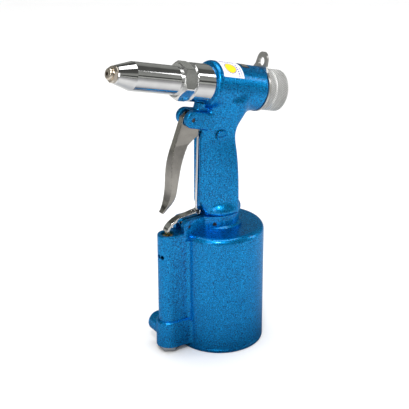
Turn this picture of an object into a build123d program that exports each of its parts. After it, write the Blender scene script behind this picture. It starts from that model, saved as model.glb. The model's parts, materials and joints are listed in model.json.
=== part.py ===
"""Air-hydraulic rivet gun, in millimetres.

The frame: origin on the floor at the air cylinder's axis, +Z up, the nose towards -X and the air
inlet towards +Y.  The barrel's own axis crosses the cylinder's axis at AXIS_Z and its front is
tilted up by TILT, so barrel pieces are drawn along +X (towards the rear) and then put in place.
"""
from build123d import *
from math import cos, radians, sin, sqrt
import os

# ---- driving dimensions: the body -----------------------------------------------------------
AXIS_Z = 254.2              # height at which the barrel's axis crosses the cylinder's axis
TILT = 14.8                 # the nose points this many degrees up
FIT = 0.05                  # radial clearance of a running or screwed fit

CYLINDER_R = 42.0           # air cylinder, outside
CYLINDER_TOP = 118.5
AIR_BORE_R = 37.5
AIR_BORE_TOP = 106.5
CAP_SEAM = 3.9              # height of the joint between base cap and cylinder
CAP_TOP = 16.0
COLLAR_R = 18.6
SEAM_Z = 132.5              # joint between the handle and the cylinder's collar
SPIGOT_R = 13.5
SPIGOT_Z = 110.0

AIR_STROKE = 56.0
AIR_PISTON_Z = 30.0         # underside of the air piston at rest
AIR_PISTON_H = 12.0
RAM_R = 6.5
RAM_TOP = 148.0
OIL_BORE_R = 7.2
OIL_BORE_TOP = 228.0

# ---- driving dimensions: the barrel, as stations along its own axis -------------------------
HEAD_FRONT, HEAD_REAR = -15.5, 40.5
HEAD_FRONT_R, HEAD_REAR_R = 21.3, 20.4
DRAW_BORE_R = 14.5
DRAW_BORE_FRONT = -4.0
DRAW_PISTON = (6.5, 14.0)
DRAW_STROKE = 16.0
ROD_R = 8.0
ADAPTER_R, ADAPTER_FRONT = 17.4, -35.2
CHANNEL_R = 10.0            # passage for the jaw case
NIPPLE_R, NIPPLE_FRONT = 11.4, -58.0
NUT_FLATS, NUT_FRONT, NUT_TURN = 31.6, -48.3, 11.0
NOSE_R, NOSE_SHOULDER, NOSE_FRONT = 12.9, -94.8, -111.0
NOSE_TIP_R = 8.3
CASE_R, CASE_FRONT, CASE_REAR = 9.4, -89.0, -50.0
CONE = ((-88.0, 3.0), (-73.0, 7.2))     # the cavity that closes the jaws
JAW_ENDS, JAW_GAP = (-86.2, -74.4), 0.34
CAP_JOINT, CAP_REAR = 51.0, 65.5
CAP_R = 19.3
HANGER_T, HANGER_TAB_R, HANGER_EYE_R = 2.2, 7.3, 4.1
TUBE_R = 2.6

# ---- driving dimensions: the linkage, as (x, z) points in the plane y = 0 -------------------
TRIGGER_PIN = (-33.7, 229.6)
ROD_TOP = (-23.0, 216.5)
ROD_FOOT = (-26.1, 136.8)
LEVER_PIN = (-39.3, 126.8)
PIN_R = 2.0
LEVER_PIN_R = 1.5
ROD_WIRE_R = 1.25
EAR_INNER, EAR_OUTER, EAR_R = 4.2, 10.0, 8.0
BRACKET_HALF = 9.7
LEVER_SLOT = 4.6

# ---- driving dimensions: the valve ----------------------------------------------------------
VALVE_X = -57.0
VALVE_TUBE_TOP = 121.0
VALVE_BLOCK_R, VALVE_BLOCK_Z = 12.2, (6.5, 33.0)
VALVE_BORE_R = 6.25
CHAMBER_R, CHAMBER_TOP = 7.5, 36.0
INLET_Z, INLET_R, INLET_END = 20.5, 10.0, 22.8
INLET_THREAD_R, INLET_THREAD_LENGTH = 5.7, 14.0
SCREEN_Y = (7.55, 8.35)     # the inlet screen, at the foot of the thread
PORT_Z = 27.0               # passage from the valve chamber to the air cylinder
STEM_TOP = 123.2
EXHAUST_Z, EXHAUST_R = 100.0, 1.95


# ---- small helpers --------------------------------------------------------------------------
def turned(*outline):
    """A solid of revolution about X, from (station, radius) points that the axis closes."""
    start, end = outline[0][0], outline[-1][0]
    return revolve(make_face(Polyline((start, 0), *outline, (end, 0), close=True)), Axis.X)


def rod(start, end, radius):
    """A plain round bar along X."""
    return turned((start, radius), (end, radius))


def ring(start, end, outer, inner):
    """A plain tube along X."""
    return rod(start, end, outer) - rod(start - 1, end + 1, inner)


def upright(shape, x=0.0, y=0.0):
    """Turn a shape drawn along X so that its stations become heights."""
    return Pos(x, y, 0) * Rot(0, -90, 0) * shape


def barrel(shape):
    """Put a shape drawn about the barrel's own axis in its place."""
    return Pos(0, 0, AXIS_Z) * Rot(0, TILT, 0) * shape


def crosswise(x, z, radius, low, high):
    """A round bar along Y, from y = low to y = high."""
    return Pos(x, 0, z) * Rot(0, 0, 90) * rod(low, high, radius)


def block(x, y, z):
    """A box between the given pairs of limits."""
    size = [pair[1] - pair[0] for pair in (x, y, z)]
    middle = [(pair[0] + pair[1]) / 2 for pair in (x, y, z)]
    return Pos(*middle) * Box(*size)


def side_plate(outline, half_width):
    """Extrude a closed outline drawn in the XZ plane to both sides of y = 0."""
    face = Plane.XZ * make_face(outline)
    return extrude(face, half_width, both=True)


def hexagon(across_flats, start, end, turn):
    """A hexagonal bar along X; turn is its rotation about X."""
    face = Plane.YZ * RegularPolygon(across_flats / sqrt(3), 6, rotation=turn)
    return Pos(start, 0, 0) * extrude(face, end - start)


def coil(start, end, mean_radius, wire_radius, turns):
    """A round-wire spring along X between two stations."""
    length = end - start - 2 * wire_radius
    path = Helix(length / turns, length, mean_radius)
    wire = sweep((path ^ 0) * Circle(wire_radius), path, is_frenet=True)
    return Pos(start + wire_radius, 0, 0) * Rot(0, 90, 0) * wire


def save(node, shape):
    """Write one sub-part; a node's solids are kept together."""
    solids = shape.solids()
    export_step(solids[0] if len(solids) == 1 else Compound(solids), f"parts/{node}.step")


# ---- the handle casting ---------------------------------------------------------------------
GRIP_FOOT = (
    # height, front face, half width of that face, half width at the axis, rear
    (132.5, -19.5, 6.9, 16.9, 17.2),
    (145.0, -24.5, 6.9, 17.0, 17.4),
)
GRIP_SHAFT = (
    (145.0, -24.5, 6.9, 17.0, 17.4),
    (163.0, -24.5, 6.9, 16.7, 17.2),
    (181.0, -24.5, 6.9, 15.9, 16.5),
    (199.0, -24.5, 6.9, 14.1, 14.4),
)
GRIP_NECK = (
    (199.0, -24.5, 6.9, 14.1, 14.4),
    (206.5, -24.4, 6.9, 13.5, 13.8),
    (214.0, -23.8, 7.0, 13.8, 15.8),
    (221.5, -21.6, 7.5, 15.0, 22.2),
    (229.0, -17.4, 8.9, 16.8, 30.2),
    (236.5, -13.8, 10.9, 18.6, 33.0),
    (244.0, -12.2, 13.0, 20.0, 33.4),
)


GRIP_BEAD = ((132.5, 18.7), (133.6, 19.6), (135.6, 20.1), (138.0, 19.7), (140.4, 18.5), (142.4, 17.0))


def grip_section(height, front, flat, half_width, rear):
    """One level of the grip: a narrow flat in front, straight flanks and a round back."""
    flank = Vector(-front, half_width - flat, 0).normalized()
    back = Spline(
        (0, half_width), (0.71 * rear, 0.72 * half_width), (rear, 0),
        (0.71 * rear, -0.72 * half_width), (0, -half_width),
        tangents=(flank, Vector(-flank.X, flank.Y, 0)))
    sides = Polyline((0, -half_width), (front, -flat), (front, flat), (0, half_width))
    face = make_face([back, sides])
    face = fillet(face.vertices().group_by(Axis.X)[0], 2.6)
    return Pos(0, 0, height) * face


def trigger_ears():
    """The two lugs that hold the trigger's pin, run back into the grip beside the barrel."""
    pin_s, pin_n = to_barrel(*TRIGGER_PIN)
    plate = Pos(pin_s, 0, pin_n) * Rot(90, 0, 0) * Cylinder(EAR_R, 2 * EAR_OUTER)
    plate += block((pin_s, 4), (-EAR_OUTER, EAR_OUTER), (pin_n - EAR_R, pin_n + EAR_R))
    flanks = plate.faces().filter_by(Axis.Y)
    plate = fillet(flanks.edges(), 1.4)
    throat = block((-21.5, 8), (-4.8, 4.8), (pin_n, -14))
    throat = fillet(throat.edges().filter_by(Axis.Z).group_by(Axis.X)[0], 3)
    throat -= rod(-30, HEAD_FRONT, ADAPTER_R + 0.6)
    return barrel(plate + throat)


def to_barrel(x, z):
    """Station and height above the barrel's axis of a point in the plane y = 0."""
    angle, rise = radians(TILT), z - AXIS_Z
    return x * cos(angle) - rise * sin(angle), x * sin(angle) + rise * cos(angle)


def handle():
    """Head, grip, trigger lugs and the spigot that goes down into the cylinder's collar."""
    head = turned((HEAD_FRONT, HEAD_FRONT_R), (HEAD_REAR, HEAD_REAR_R))
    head = fillet(head.edges().group_by(Axis.X)[0], 3.5)
    head = fillet(head.edges().group_by(Axis.X)[-1], 0.6)
    grip = loft([grip_section(*values) for values in GRIP_FOOT], ruled=True)
    for stretch in (GRIP_SHAFT, GRIP_NECK):
        grip += loft([grip_section(*values) for values in stretch])
    bead_top = GRIP_BEAD[-1]
    bead = make_face([Spline(*GRIP_BEAD), Polyline(bead_top, (bead_top[0], 0), (SEAM_Z, 0), GRIP_BEAD[0])])
    body = barrel(head) + grip + upright(revolve(bead, Axis.X)) + trigger_ears()
    body += upright(rod(SPIGOT_Z, SEAM_Z + 2, SPIGOT_R))

    trigger_slot = barrel(block((-50, -7), (-EAR_INNER, EAR_INNER), (-48.5, -25)))
    groove = side_plate(Polyline((-30, 138), (-23.2, 138), (-18.2, 222), (-30, 222), close=True), 2.4)
    body -= trigger_slot + groove
    body -= crosswise(*TRIGGER_PIN, PIN_R, -15, 15)

    draw_bore = rod(DRAW_BORE_FRONT, HEAD_REAR + 1, DRAW_BORE_R)
    rod_bore = rod(HEAD_FRONT - 1, 0, ROD_R + FIT)
    seal_room = rod(-9.0, -5.4, ROD_R + 2.4)
    front_socket = rod(HEAD_FRONT - 1, -9.5, 12.5)
    body -= barrel(draw_bore + rod_bore + seal_room + front_socket)

    body -= upright(rod(120, OIL_BORE_TOP, OIL_BORE_R))
    body -= upright(rod(OIL_BORE_TOP - 1, AXIS_Z - 12, 2.5))
    body -= upright(rod(SPIGOT_Z - 1, 126, 10 + FIT))
    body -= oil_plug_hole()
    return body


# ---- the oil filler in the grip -------------------------------------------------------------
PLUG_X, PLUG_Z, PLUG_SEAT = -6.5, 210.5, -12.3


def oil_plug_hole():
    """Spot face and drilling that lead to the oil bore."""
    seat = crosswise(PLUG_X, PLUG_Z, 5.5, -20, PLUG_SEAT)
    drilling = crosswise(PLUG_X, PLUG_Z, 3.0, -15, -2)
    return seat + drilling


def oil_plug():
    """Slotted screw plug, painted over with the casting."""
    head = crosswise(PLUG_X, PLUG_Z, 5.0, PLUG_SEAT - 2.1, PLUG_SEAT - 0.8)
    head = fillet(head.edges().group_by(Axis.Y)[0], 0.5)
    head += crosswise(PLUG_X, PLUG_Z, 3.0 - FIT, PLUG_SEAT - 1, PLUG_SEAT + 5.0)
    return head - block((PLUG_X - 4.2, PLUG_X + 4.2), (-20, PLUG_SEAT - 1.5), (PLUG_Z - 0.6, PLUG_Z + 0.6))


def oil_plug_washer():
    """Sealing washer under the oil plug."""
    washer = crosswise(PLUG_X, PLUG_Z, 4.9, PLUG_SEAT - 0.8, PLUG_SEAT)
    return washer - crosswise(PLUG_X, PLUG_Z, 3.05, -20, 0)


# ---- the air cylinder casting ---------------------------------------------------------------
SCREW_TURN = 224.0          # direction of the neck's set screw, seen from above
SCREW_Z = 125.0


def neck_screw_place(shape):
    """Lay a shape drawn along X along the set screw's axis."""
    return Pos(0, 0, SCREW_Z) * Rot(0, 0, SCREW_TURN) * shape


def fulcrum_bracket():
    """Lugs for the valve lever's pin, widened into the collar."""
    half = BRACKET_HALF
    plan = Polyline((-45.4, -half), (-22.5, -half), (-9.4, -17.0), (0, -17), (0, 17),
                    (-9.4, 17.0), (-22.5, half), (-45.4, half), close=True)
    face = make_face(plan)
    corners = [corner for corner in face.vertices() if -25 < corner.X < -5]
    lugs = Pos(0, 0, 112) * extrude(fillet(corners, 3.0), 133.0 - 112)
    front_top = lugs.edges().filter_by(Axis.Y).group_by(Axis.Z)[-1].group_by(Axis.X)[0]
    lugs = fillet(front_top, 5.5)
    return lugs - upright(rod(SEAM_Z, 140, 24))


def junction(half, low, high):
    """The cast radius where a wall of the given half width meets the cylinder."""
    plan = Circle(CYLINDER_R) + Pos(-44, 0) * Rectangle(20, 2 * half)
    inner = [corner for corner in plan.vertices() if corner.X > -50]
    return Pos(0, 0, low) * extrude(fillet(inner, 4.0), high - low)


def valve_housing():
    """The upright valve tube, its web to the cylinder, the foot block and the inlet boss."""
    half = BRACKET_HALF
    tube = upright(rod(VALVE_BLOCK_Z[0], VALVE_TUBE_TOP, half), VALVE_X)
    tube += block((VALVE_X, -30), (-half, half), (VALVE_BLOCK_Z[0], VALVE_TUBE_TOP))
    tube = fillet(tube.edges().group_by(Axis.Z)[-1].group_by(Axis.X)[0], 1.2)
    foot = upright(rod(*VALVE_BLOCK_Z, VALVE_BLOCK_R), VALVE_X)
    foot += block((VALVE_X, -30), (-VALVE_BLOCK_R, VALVE_BLOCK_R), VALVE_BLOCK_Z)
    rim = foot.faces().sort_by(Axis.Z)[-1].edges()
    foot = fillet(rim, 2.4)
    tube += junction(half, VALVE_BLOCK_Z[0], CYLINDER_TOP - 5.5)
    foot += junction(VALVE_BLOCK_R, VALVE_BLOCK_Z[0], VALVE_BLOCK_Z[1] - 2.4)
    boss = crosswise(VALVE_X, INLET_Z, INLET_R, 0, INLET_END)
    boss = chamfer(boss.edges().group_by(Axis.Y)[-1], 0.8)
    return tube + foot + boss


def air_cylinder():
    """The lower casting: cylinder, collar, lever bracket, valve tube and air inlet."""
    shell = upright(rod(CAP_SEAM, CYLINDER_TOP, CYLINDER_R))
    shell = fillet(shell.edges().group_by(Axis.Z)[-1], 5.5)
    shell += valve_housing() + fulcrum_bracket()
    shell += upright(turned((CYLINDER_TOP - 2, 21.0), (121.0, 21.0), (122.6, COLLAR_R), (SEAM_Z, COLLAR_R)))

    shell -= upright(rod(0, AIR_BORE_TOP, AIR_BORE_R))
    shell -= upright(rod(100, 140, SPIGOT_R + FIT))
    shell -= block((-75, -20.5), (-LEVER_SLOT, LEVER_SLOT), (VALVE_TUBE_TOP, 140))
    shell -= crosswise(*LEVER_PIN, LEVER_PIN_R, -15, 15)
    shell -= neck_screw_place(rod(SPIGOT_R - 0.5, 30, 1.95))

    shell -= upright(rod(0, CHAMBER_TOP, CHAMBER_R), VALVE_X)
    shell -= upright(rod(0, 140, VALVE_BORE_R), VALVE_X)
    shell -= crosswise(VALVE_X, INLET_Z, INLET_THREAD_R, INLET_END - INLET_THREAD_LENGTH, 40)
    shell -= crosswise(VALVE_X, INLET_Z, 4.0, 0, 9)
    shell -= Pos(0, 0, PORT_Z) * rod(VALVE_X, -30, 2.5)
    for turn in (-26, 0, 26):
        hole = Rot(0, 0, turn) * rod(-15, 0, EXHAUST_R)
        shell -= Pos(VALVE_X, 0, EXHAUST_Z) * hole
    return shell


def base_cap():
    """Foot of the tool: a screwed cap with a rim that the air piston rests on."""
    cap = upright(rod(0, CAP_SEAM, CYLINDER_R))
    cap = fillet(cap.edges().group_by(Axis.Z)[0], 1.2)
    cap += upright(rod(CAP_SEAM, CAP_TOP, AIR_BORE_R - FIT))
    cap += upright(ring(CAP_TOP, AIR_PISTON_Z - 0.2, 31, 27))
    cap -= Pos(0, 0, PORT_Z) * rod(-40, -20, 2.6)
    cap -= upright(ring(8.0, 11.0, 40, 35.2))
    return cap - upright(rod(5.5, CAP_TOP + 1, 20))


# ---- the air motor: piston, ram and seals ---------------------------------------------------
def air_piston():
    """Disc piston with a groove for its seal."""
    top = AIR_PISTON_Z + AIR_PISTON_H
    disc = upright(rod(AIR_PISTON_Z, top, AIR_BORE_R - 0.4))
    disc = chamfer(disc.edges(), 0.8)
    disc -= upright(ring(AIR_PISTON_Z + 4, top - 4, 45, 33.5))
    return disc - upright(rod(0, 60, 5.5 + FIT))


def ram():
    """Hard steel ram: a stud through the piston, a shoulder, and the long pressure end."""
    top = AIR_PISTON_Z + AIR_PISTON_H
    return upright(turned((AIR_PISTON_Z - 8.5, 5.5), (top, 5.5), (top, RAM_R),
                          (RAM_TOP - 1.5, RAM_R), (RAM_TOP, RAM_R - 1.5)))


def ram_nut():
    """Nut that holds the ram on the air piston."""
    nut = hexagon(19, AIR_PISTON_Z - 7.5, AIR_PISTON_Z, 0)
    return upright(nut - rod(0, 60, 5.5 + FIT))


def ram_gland():
    """Screwed bronze gland that guides the ram into the oil bore."""
    gland = rod(107, SPIGOT_Z, 12.8) + rod(SPIGOT_Z - 1, 126, 10)
    gland -= rod(100, 130, RAM_R + FIT)
    gland -= rod(114, 118, 8.6)
    return upright(gland - ring(120, 122.4, 11, 8.7))


# ---- the valve ------------------------------------------------------------------------------
def valve_plug():
    """Hexagon plug that closes the foot of the valve and carries the spring."""
    plug = hexagon(19, 2, VALVE_BLOCK_Z[0], 0)
    plug += rod(6, 14, CHAMBER_R - FIT)
    plug -= ring(7.2, 8.8, 10, 6.1)
    plug -= rod(10, 15, 5.0)
    return upright(chamfer(plug.edges().group_by(Axis.X)[0], 0.5), VALVE_X)


def valve_seat():
    """Ring that the valve closes against."""
    return upright(ring(32, CHAMBER_TOP, CHAMBER_R - FIT, 4.4), VALVE_X)


def valve_bush():
    """Brass guide in the mouth of the valve tube."""
    bush = turned((110, 6.2), (118.0, 6.2), (119.0, 5.4)) - rod(100, 130, 2.56)
    return upright(bush, VALVE_X)


def valve_stem():
    """Long stem: button on top, exhaust land below the bush, poppet in the chamber."""
    stem = turned((22, 2.4), (27, 2.4), (27, 5.6), (30.6, 5.6), (31.8, 4.6), (31.8, 1.7), (88, 1.7),
                  (88, 5.95), (94, 5.95), (94, 1.7), (106, 1.7), (106, 2.5), (STEM_TOP - 1, 2.5),
                  (STEM_TOP, 1.8))
    return upright(stem, VALVE_X)


def valve_spring():
    """Spring between the plug and the poppet."""
    return upright(coil(10.1, 26.9, 3.9, 0.55, 6), VALVE_X)


# ---- trigger, rod and lever -----------------------------------------------------------------
TRIGGER_FRONT = ((-40.8, 231.6), (-44.4, 221.5), (-48.6, 210.3), (-52.2, 199.9), (-54.7, 187.5),
                 (-55.8, 172.0), (-57.0, 160.0), (-59.6, 151.5), (-64.6, 143.6))
TRIGGER_REAR = ((-62.6, 143.0), (-56.4, 149.4), (-52.2, 155.4), (-49.6, 164.5), (-47.4, 175.5),
                (-44.9, 185.5), (-41.3, 194.7), (-36.4, 204.3))


def trigger_side(shift=0.0):
    """Side outline of the trigger; shift moves the front edge back to leave a wall."""
    front = Spline(*[(x + shift, z) for x, z in TRIGGER_FRONT])
    rear = Spline(*TRIGGER_REAR)
    closing = [Line(front @ 1, rear @ 0)]
    arm = Polyline(rear @ 1, (-29.5, 209.2), (ROD_TOP[0] + 1, ROD_TOP[1] - 3.4),
                   (ROD_TOP[0] + 3.1, ROD_TOP[1] - 1.0), (ROD_TOP[0] + 2.8, ROD_TOP[1] + 1.8),
                   (-27.2, 231.2), (-30.6, 234.6), (-36.4, 235.0), front @ 0)
    return [front, rear, arm] + closing


def trigger_width(inset):
    """Front view of the trigger: narrow in the lugs, widest at the fingers, narrow at its tip."""
    half = ((3.4, 240), (3.4, 206), (4.4, 196), (5.5, 184), (6.0, 170), (5.8, 160), (4.4, 150),
            (3.2, 145), (3.0, 140))
    left = [(-y + inset, z) for y, z in half]
    right = [(y - inset, z) for y, z in reversed(half)]
    outline = [Spline(*left[1:]), Line(left[0], left[1]), Line(left[-1], right[0]),
               Spline(*right[:-1]), Line(right[-2], right[-1]), Line(right[-1], left[0])]
    face = Plane.YZ * make_face(outline)
    return extrude(face, 90, both=True)


def trigger():
    """Pressed steel trigger of channel section, open towards the grip."""
    wall = 1.5
    shell = side_plate(trigger_side(), 9) & trigger_width(0)
    hollow = side_plate(trigger_side(wall), 9) & trigger_width(wall)
    hollow += Pos(3, 0, 0) * hollow
    hollow -= block((-80, 0), (-10, 10), (0, 145.6))
    shell -= hollow
    shell -= crosswise(*TRIGGER_PIN, PIN_R + FIT, -10, 10)
    return shell - crosswise(*ROD_TOP, ROD_WIRE_R + FIT, -10, 10)


def trigger_pin():
    """Pivot of the trigger, held in the handle's lugs."""
    pin = crosswise(*TRIGGER_PIN, PIN_R, -EAR_OUTER + 1.2, EAR_OUTER - 1.2)
    return chamfer(pin.edges(), 0.3)


def trigger_rod():
    """Rod from the trigger's rear arm down to the valve lever, with a cross pin on top."""
    run = Vector(ROD_TOP[0] - ROD_FOOT[0], 0, ROD_TOP[1] - ROD_FOOT[1])
    axis = Plane(origin=(ROD_FOOT[0], 0, ROD_FOOT[1]), z_dir=run)
    bar = extrude(axis * Circle(ROD_WIRE_R), run.length)
    bar += crosswise(*ROD_TOP, ROD_WIRE_R, -3.9, 3.9)
    bar += crosswise(*ROD_FOOT, 2.5, -1.7, 1.7)
    return bar - crosswise(*ROD_FOOT, 1.2, -5, 5)


def rod_end_pin():
    """Small pin in the foot of the rod; it turns in the valve lever's cheeks."""
    return crosswise(*ROD_FOOT, 1.2, -3.6, 3.6)


LEVER_TOP = ((-23.2, 138.2), (-29.5, 137.6), (-37.0, 136.3), (-46.0, 135.2), (-53.2, 132.2),
             (-58.2, 127.8), (-60.2, 123.9))
LEVER_LOW = ((-57.4, 123.6), (-54.6, 127.8), (-49.2, 130.9), (-43.2, 131.2))


def valve_lever():
    """Rocker of channel section: the rod lifts its rear, its nose pushes the valve stem."""
    top = Spline(*LEVER_TOP)
    low = Spline(*LEVER_LOW)
    pin_x, pin_z = LEVER_PIN
    closing = Polyline(low @ 1, (pin_x - 4.0, pin_z), (pin_x - 2.6, pin_z - 3.2),
                       (pin_x + 2.6, pin_z - 3.2), (pin_x + 4.2, pin_z),
                       (-31.5, 131.4), (-27.2, 133.5), (-23.4, 134.2), (-22.8, 136.4), top @ 0)
    lever = side_plate([top, low, Line(top @ 1, low @ 0), closing], 3.7)
    channel = Pos(0, 0, -1.4) * side_plate([Spline(*LEVER_TOP[:5]), Polyline(
        LEVER_TOP[4], (LEVER_TOP[4][0], 110), (-20, 110), (-20, LEVER_TOP[0][1]), LEVER_TOP[0])], 2.2)
    rear_slot = block((-30, -20), (-2.2, 2.2), (130, 145))
    lever -= channel + rear_slot
    lever -= crosswise(*LEVER_PIN, LEVER_PIN_R + FIT, -10, 10)
    return lever - crosswise(*ROD_FOOT, 1.6, -10, 10)


def valve_lever_pin():
    """Fulcrum pin of the valve lever."""
    return crosswise(*LEVER_PIN, LEVER_PIN_R, -BRACKET_HALF + 1.0, BRACKET_HALF - 1.0)


# ---- the nose -------------------------------------------------------------------------------
def head_adapter():
    """Plated adapter: spigot into the head, plain collar, threaded nipple for nut and nose."""
    shape = rod(ADAPTER_FRONT, HEAD_FRONT, ADAPTER_R)
    shape = fillet(shape.edges(), 0.6)
    shape += rod(HEAD_FRONT - 1, -9.5, 12.5 - FIT)
    shape += rod(NIPPLE_FRONT, ADAPTER_FRONT + 1, NIPPLE_R)
    return barrel(shape - rod(NIPPLE_FRONT - 1, 0, CHANNEL_R))


def lock_nut():
    """Hexagon lock nut, its corners turned off towards both faces."""
    rear = ADAPTER_FRONT
    corner = NUT_FLATS / sqrt(3)
    bar = hexagon(NUT_FLATS, NUT_FRONT, rear, NUT_TURN)
    bar &= turned((NUT_FRONT, 15.0), (NUT_FRONT + 2.4, corner - 0.3), (rear - 3.6, corner - 0.3),
                  (rear - 1.2, 17.0), (rear, 16.2))
    return barrel(bar - rod(-60, -30, NIPPLE_R + FIT))


def nose_housing():
    """Long plated sleeve over the jaws, ending in a cone."""
    shell = turned((NUT_FRONT, NOSE_R), (NOSE_SHOULDER, NOSE_R), (NOSE_FRONT + 0.8, NOSE_TIP_R),
                   (NOSE_FRONT, NOSE_TIP_R - 0.8))
    shell -= rod(NIPPLE_FRONT - 0.5, 0, NIPPLE_R + FIT)
    shell -= turned((-93, CHANNEL_R), (0, CHANNEL_R))
    shell -= turned((-103, 5.2), (-99, 8.2), (-92, CHANNEL_R))
    return barrel(shell - rod(-120, -90, 5.0 + FIT))


def nosepiece():
    """Screwed nosepiece: thread, small hexagon and rounded tip with the mandrel's hole."""
    shape = rod(-112, -101.5, 5.0)
    flats = hexagon(13.4, -114.6, NOSE_FRONT, 30)
    flats &= turned((-114.6, 6.7), (-113.9, 7.8), (NOSE_FRONT - 0.4, 7.8), (NOSE_FRONT, 7.4))
    tip = rod(-118.0, -114, 5.4)
    tip = fillet(tip.edges().group_by(Axis.X)[0], 2.2)
    shape += flats + tip
    spreader = turned((-101.6, 5.0), (-96, 4.4), (-89.6, 2.45))
    shape += spreader
    return barrel(shape - rod(-125, -80, 1.75))


def jaw_case():
    """Sliding case whose inner cone closes the jaws when it is drawn back."""
    case = rod(CASE_FRONT, CASE_REAR, CASE_R)
    case = chamfer(case.edges(), 0.6)
    case -= turned(*CONE)
    case -= rod(-73.2, -61, CONE[1][1])
    case -= rod(CASE_FRONT - 1, -80, CONE[0][1])
    return barrel(case - rod(-62, CASE_REAR + 1, 6.0 + FIT))


def jaw(turn):
    """One of three wedge jaws round the mandrel."""
    (front, front_r), (rear, rear_r) = CONE
    slope = (rear_r - front_r) / (rear - front)
    ends = [(station, front_r + slope * (station - front) - JAW_GAP) for station in JAW_ENDS]
    body = turned(*ends)
    body -= rod(-90, -70, 1.3)
    tip, side = 0.6, 12.0               # a sector of 120 degrees, set off from the axis
    flank = (tip + side * cos(radians(60)), side * sin(radians(60)))
    plan = Polyline((tip, 0), flank, (16, 0), (flank[0], -flank[1]), close=True)
    sector = Pos(-90, 0, 0) * extrude(Plane.YZ * make_face(plan), 20)
    return barrel(Rot(turn, 0, 0) * (body & sector))


def jaw_pusher():
    """Cone-nosed pusher behind the jaws."""
    body = turned((-74.0, 4.2), (-72.6, 6.6), (-69.5, 6.6), (-69.5, 3.9), (-66, 3.9))
    return barrel(body - rod(-80, -60, 2.4))


# ---- the hydraulic piston and the rear end --------------------------------------------------
def hydraulic_piston():
    """Piston and hollow rod in one piece, screwed into the jaw case."""
    front, rear = DRAW_PISTON
    land = DRAW_BORE_R - 0.3
    shape = turned((-61.5, 6.0), (CASE_REAR, 6.0), (CASE_REAR, ROD_R), (front, ROD_R),
                   (front, land), (rear, land), (rear, 7.5), (rear + 4, 7.0))
    shape -= ring(front + 2.4, rear - 2.2, 20, 11.6)
    return barrel(shape - rod(-70, 30, TUBE_R + FIT))


def hanger_plate():
    """Flat plate clamped behind the head, with a rounded tab and an eye to hang the tool by."""
    half = ((13.0, 15), (8.2, 22.5), (HANGER_TAB_R, 28.5))
    left = [(-x, y) for x, y in half]
    tab = make_face(Polyline(*left, *reversed(half), close=True))
    outline = Circle(20.9) + tab + Pos(0, 27.3) * Circle(HANGER_TAB_R)
    outline -= Pos(0, 25.6) * Circle(HANGER_EYE_R)
    outline -= Circle(DRAW_BORE_R + FIT)
    plate = extrude(outline, HANGER_T)
    return barrel(Pos(HEAD_REAR, 0, 0) * Rot(0, 90, 0) * Rot(0, 0, 90) * plate)


def end_plug():
    """Hollow screwed plug behind the hydraulic piston, with a knurled flange."""
    flange_front = HEAD_REAR + HANGER_T
    plug = rod(34.5, flange_front + 1, DRAW_BORE_R - FIT)
    flange = rod(flange_front, CAP_JOINT - 0.5, CAP_R - 0.3)
    plug += chamfer(flange.edges(), 0.5)
    plug += rod(CAP_JOINT - 1, 59, 14.0)
    plug -= rod(30, 50, 12.3)
    plug -= ring(37, 39.6, 20, 12.9)
    return barrel(plug - rod(40, 70, TUBE_R + FIT))


def rear_cap():
    """Knurled cap over the end plug; spent mandrels leave through its centre."""
    cap = rod(CAP_JOINT, CAP_REAR, CAP_R)
    cap = fillet(cap.edges().group_by(Axis.X)[-1], 2.0)
    cap = chamfer(cap.edges().group_by(Axis.X)[0], 0.6)
    cap -= rod(50, 60.5, 14.0 + FIT)
    return barrel(cap - turned((60, 3.4), (CAP_REAR - 1.2, 3.4), (CAP_REAR + 0.1, 4.7)))


# ---- every node -----------------------------------------------------------------------------
def seals():
    """Rubber and steel rings, as node name and shape."""
    return {
        "base_cap_seal": upright(ring(8.1, 10.9, AIR_BORE_R - FIT, 35.25)),
        "air_piston_seal": upright(ring(AIR_PISTON_Z + 4.1, AIR_PISTON_Z + 7.9, AIR_BORE_R - FIT, 33.55)),
        "bumper": upright(ring(AIR_BORE_TOP - 8, AIR_BORE_TOP, 27, 17)),
        "ram_seal": upright(ring(114.1, 117.9, 8.55, RAM_R + FIT)),
        "gland_seal": upright(ring(120.1, 122.3, 10, 8.75)),
        "valve_plug_seal": upright(ring(7.3, 8.7, CHAMBER_R - FIT, 6.15), VALVE_X),
        "piston_seal": barrel(ring(9.0, 11.7, DRAW_BORE_R - FIT, 11.65)),
        "rod_seal": barrel(ring(-8.9, -5.5, ROD_R + 2.35, ROD_R + FIT)),
        "end_plug_seal": barrel(ring(37.1, 39.5, DRAW_BORE_R - FIT, 12.95)),
    }


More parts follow.
